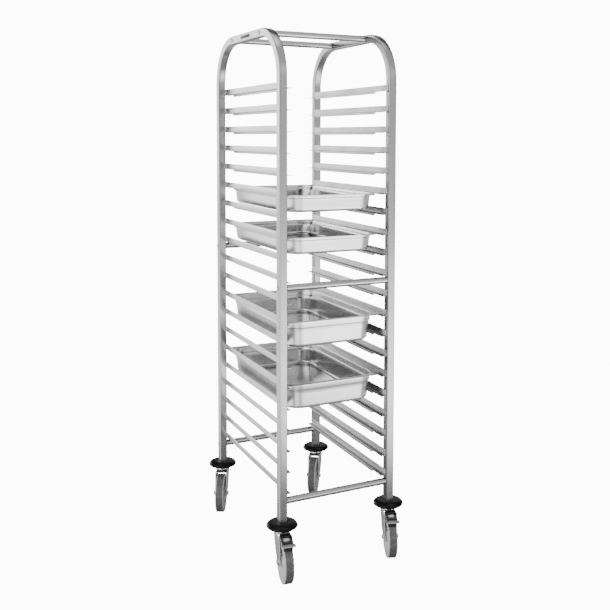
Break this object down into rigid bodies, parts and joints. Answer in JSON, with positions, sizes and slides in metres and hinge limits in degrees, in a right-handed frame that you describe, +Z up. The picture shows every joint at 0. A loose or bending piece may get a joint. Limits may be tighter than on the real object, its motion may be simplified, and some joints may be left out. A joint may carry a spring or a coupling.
{
  "type": "sheet pan rack",
  "caption": "Mobile steel pan rack: two bent square-tube side frames with pressed ledges, round cross bars, swivel casters with bumpers and brakes, and sliding deep pans.",
  "frame": {"origin": "middle of the floor area that the rack covers, on the floor", "axes": "+Z up, -Y towards the loading side, +X to the right seen from the loading side"},
  "size_m": [0.456, 0.6849, 1.6],
  "materials": {
    "satin_steel": "satin",
    "bright_steel": "polished",
    "zinc_plated_steel": "bright zinc plated",
    "polished_steel": "bright, lightly brushed",
    "grey_rubber": "matte",
    "grey_plastic": "matte",
    "black_rubber": "glossy",
    "black_plastic": "satin"
  },
  "bodies": {
    "frame": {"left_side_frame": "satin_steel", "right_side_frame": "satin_steel", "top_front_bar": "satin_steel", "top_rear_bar": "satin_steel", "middle_front_bar": "satin_steel", "middle_rear_bar": "satin_steel", "bottom_front_bar": "satin_steel", "bottom_rear_bar": "satin_steel", "top_front_bar_left_screw": "bright_steel", "top_front_bar_right_screw": "bright_steel", "top_rear_bar_left_screw": "bright_steel", "top_rear_bar_right_screw": "bright_steel", "middle_front_bar_left_screw": "bright_steel", "middle_front_bar_right_screw": "bright_steel", "middle_rear_bar_left_screw": "bright_steel", "middle_rear_bar_right_screw": "bright_steel", "bottom_front_bar_left_screw": "bright_steel", "bottom_front_bar_right_screw": "bright_steel", "bottom_rear_bar_left_screw": "bright_steel", "bottom_rear_bar_right_screw": "bright_steel", "stem_expander_front_left": "black_plastic", "caster_stem_front_left": "zinc_plated_steel", "bumper_front_left": "black_rubber", "stem_expander_front_right": "black_plastic", "caster_stem_front_right": "zinc_plated_steel", "bumper_front_right": "black_rubber", "stem_expander_rear_left": "black_plastic", "caster_stem_rear_left": "zinc_plated_steel", "bumper_rear_left": "black_rubber", "stem_expander_rear_right": "black_plastic", "caster_stem_rear_right": "zinc_plated_steel", "bumper_rear_right": "black_rubber"},
    "swivel_front_left": {"caster_fork_front_left": "zinc_plated_steel", "axle_bolt_front_left": "bright_steel", "brake_pin_front_left": "bright_steel"},
    "wheel_front_left": {"tyre_front_left": "grey_rubber", "wheel_hub_front_left": "grey_plastic"},
    "brake_front_left": {"brake_pedal_front_left": "zinc_plated_steel", "brake_cover_front_left": "black_plastic", "brake_shoe_front_left": "black_rubber"},
    "swivel_front_right": {"caster_fork_front_right": "zinc_plated_steel", "axle_bolt_front_right": "bright_steel", "brake_pin_front_right": "bright_steel"},
    "wheel_front_right": {"tyre_front_right": "grey_rubber", "wheel_hub_front_right": "grey_plastic"},
    "brake_front_right": {"brake_pedal_front_right": "zinc_plated_steel", "brake_cover_front_right": "black_plastic", "brake_shoe_front_right": "black_rubber"},
    "swivel_rear_left": {"caster_fork_rear_left": "zinc_plated_steel", "axle_bolt_rear_left": "bright_steel"},
    "wheel_rear_left": {"tyre_rear_left": "grey_rubber", "wheel_hub_rear_left": "grey_plastic"},
    "swivel_rear_right": {"caster_fork_rear_right": "zinc_plated_steel", "axle_bolt_rear_right": "bright_steel"},
    "wheel_rear_right": {"tyre_rear_right": "grey_rubber", "wheel_hub_rear_right": "grey_plastic"},
    "pan_level_15": {"pan_level_15": "polished_steel"},
    "pan_level_13": {"pan_level_13": "polished_steel"},
    "pan_level_9": {"pan_level_9": "polished_steel"},
    "pan_level_6": {"pan_level_6": "polished_steel"}
  },
  "joints": [
    {"name": "swivel_front_left", "type": "hinge", "parent": "frame", "child": "swivel_front_left", "pos_m": [-0.1775, -0.23825, 0.14], "axis": [0, 0, 1], "continuous": true},
    {"name": "wheel_spin_front_left", "type": "hinge", "parent": "swivel_front_left", "child": "wheel_front_left", "pos_m": [-0.18479, -0.27961, 0.0625], "axis": [0.9848, -0.1736, 0], "continuous": true},
    {"name": "brake_front_left", "type": "hinge", "parent": "swivel_front_left", "child": "brake_front_left", "pos_m": [-0.18393, -0.27469, 0.131], "axis": [0.9848, -0.1736, 0], "range_deg": [0, 3]},
    {"name": "swivel_front_right", "type": "hinge", "parent": "frame", "child": "swivel_front_right", "pos_m": [0.1775, -0.23825, 0.14], "axis": [0, 0, 1], "continuous": true},
    {"name": "wheel_spin_front_right", "type": "hinge", "parent": "swivel_front_right", "child": "wheel_front_right", "pos_m": [0.16314, -0.27772, 0.0625], "axis": [0.9397, -0.342, 0], "continuous": true},
    {"name": "brake_front_right", "type": "hinge", "parent": "swivel_front_right", "child": "brake_front_right", "pos_m": [0.16484, -0.27302, 0.131], "axis": [0.9397, -0.342, 0], "range_deg": [0, 3]},
    {"name": "swivel_rear_left", "type": "hinge", "parent": "frame", "child": "swivel_rear_left", "pos_m": [-0.1775, 0.29675, 0.14], "axis": [0, 0, 1], "continuous": true},
    {"name": "wheel_spin_rear_left", "type": "hinge", "parent": "swivel_rear_left", "child": "wheel_rear_left", "pos_m": [-0.19591, 0.259, 0.0625], "axis": [0.8988, -0.4384, 0], "continuous": true},
    {"name": "swivel_rear_right", "type": "hinge", "parent": "frame", "child": "swivel_rear_right", "pos_m": [0.1775, 0.29675, 0.14], "axis": [0, 0, 1], "continuous": true},
    {"name": "wheel_spin_rear_right", "type": "hinge", "parent": "swivel_rear_right", "child": "wheel_rear_right", "pos_m": [0.15401, 0.26193, 0.0625], "axis": [0.829, -0.5592, 0], "continuous": true},
    {"name": "pan_slide_level_15", "type": "slide", "parent": "frame", "child": "pan_level_15", "axis": [0, -1, 0], "range_m": [0, 0.45]},
    {"name": "pan_slide_level_13", "type": "slide", "parent": "frame", "child": "pan_level_13", "axis": [0, -1, 0], "range_m": [0, 0.45]},
    {"name": "pan_slide_level_9", "type": "slide", "parent": "frame", "child": "pan_level_9", "axis": [0, -1, 0], "range_m": [0, 0.45]},
    {"name": "pan_slide_level_6", "type": "slide", "parent": "frame", "child": "pan_level_6", "axis": [0, -1, 0], "range_m": [0, 0.45]}
  ]
}
